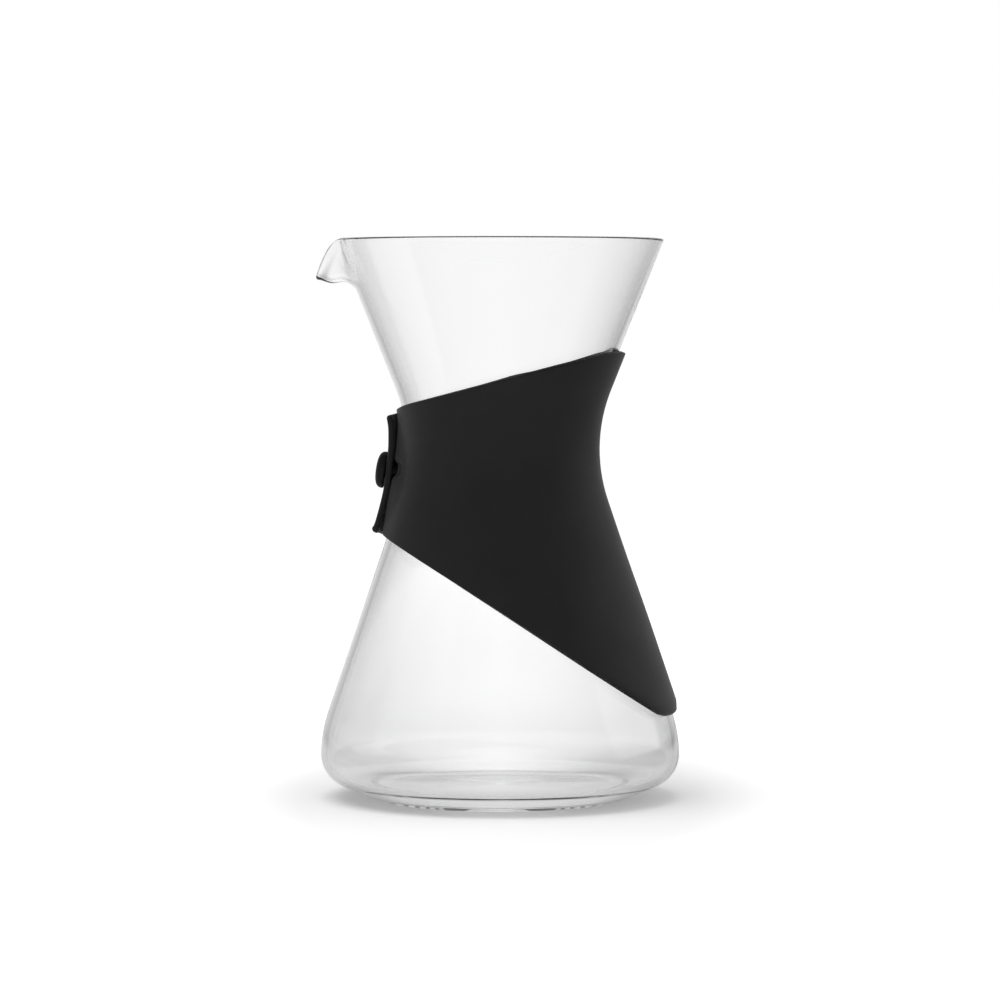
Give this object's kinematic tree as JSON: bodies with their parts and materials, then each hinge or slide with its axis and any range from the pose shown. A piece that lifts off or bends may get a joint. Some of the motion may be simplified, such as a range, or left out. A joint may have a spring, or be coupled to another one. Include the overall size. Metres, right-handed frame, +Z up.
{
  "type": "coffee server carafe",
  "caption": "Hourglass glass coffee server with a pulled spout and a black silicone wrap round its waist, closed by a button stud and flap under the spout.",
  "frame": {"origin": "centre of the foot, on the surface that the vessel stands on", "axes": "+Z up along the vessel's axis, -X towards the spout and the closure, +X towards the wrap's low back tip, -Y the near side of the picture"},
  "size_m": [0.136, 0.1348, 0.21],
  "materials": {
    "glass": "clear polished",
    "silicone": "matte",
    "stud_silicone": "satin"
  },
  "bodies": {
    "vessel": {"glass_vessel": "glass"},
    "sleeve": {"sleeve_wrap": "silicone", "closure_stud": "stud_silicone"},
    "flap": {"closure_flap": "silicone", "buttonhole_rim": "silicone"}
  },
  "joints": [
    {"name": "sleeve_turn", "type": "hinge", "parent": "vessel", "child": "sleeve", "pos_m": [0, 0, 0.131], "axis": [0, 0, 1], "continuous": true},
    {"name": "flap_peel", "type": "hinge", "parent": "sleeve", "child": "flap", "pos_m": [-0.03881, 0.02618, 0.1215], "axis": [-0.111, 0.0749, -0.991], "range_deg": [0, 95], "stiffness_Nm_per_rad": 0.004, "deforming": ["buttonhole_rim"]}
  ]
}
